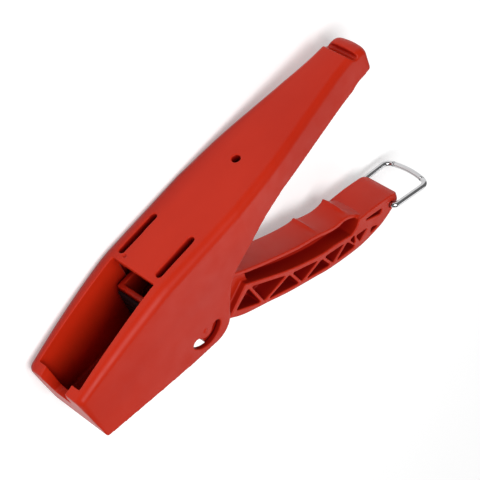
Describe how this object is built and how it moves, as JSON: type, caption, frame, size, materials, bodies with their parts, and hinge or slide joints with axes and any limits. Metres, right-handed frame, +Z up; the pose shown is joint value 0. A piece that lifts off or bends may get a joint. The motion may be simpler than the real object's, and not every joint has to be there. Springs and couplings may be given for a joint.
{
  "type": "one-hand push clamp",
  "caption": "Moulded one-hand clamp: a hollow body with an open nose trough, a trussed spring lever that drives a sliding jaw towards the nose wall, and a wire locking bail.",
  "frame": {"origin": "on the lever pivot's axis, in the plane of the side the clamp lies on", "axes": "+X along the body from the nose to the tail, +Y the way the body's top face looks, +Z up, along the pivot axis"},
  "size_m": [0.1856, 0.0983, 0.034],
  "materials": {
    "red_plastic": "moulded red plastic, satin gloss",
    "steel": "turned steel pin",
    "spring_steel": "drawn spring wire",
    "nylon": "natural nylon",
    "rubber": "matt elastomer",
    "bright_wire": "bright plated wire"
  },
  "bodies": {
    "frame": {"body": "red_plastic", "lever_pivot_pin": "steel", "spring_bush": "nylon", "return_spring": "spring_steel"},
    "lever": {"lever": "red_plastic", "drive_pin": "steel"},
    "jaw": {"sliding_jaw": "red_plastic", "jaw_pad": "rubber"},
    "bail": {"lock_bail": "bright_wire"}
  },
  "joints": [
    {"name": "lever_pivot", "type": "hinge", "parent": "frame", "child": "lever", "pos_m": [0, 0, 0.017], "axis": [0, 0, 1], "range_deg": [0, 35], "stiffness_Nm_per_rad": 1.2, "springref_deg": -20.05, "deforming": ["return_spring"]},
    {"name": "jaw_slide", "type": "slide", "parent": "frame", "child": "jaw", "axis": [-1, 0, 0], "range_m": [0, 0.01235]},
    {"name": "bail_pivot", "type": "hinge", "parent": "lever", "child": "bail", "pos_m": [0.1067, -0.051, 0.017], "axis": [0, 0, 1], "range_deg": [-80, 84]}
  ],
  "couplings": [
    {"joint": "jaw_slide", "follows": "lever_pivot", "m_per_rad": 0.02018}
  ]
}
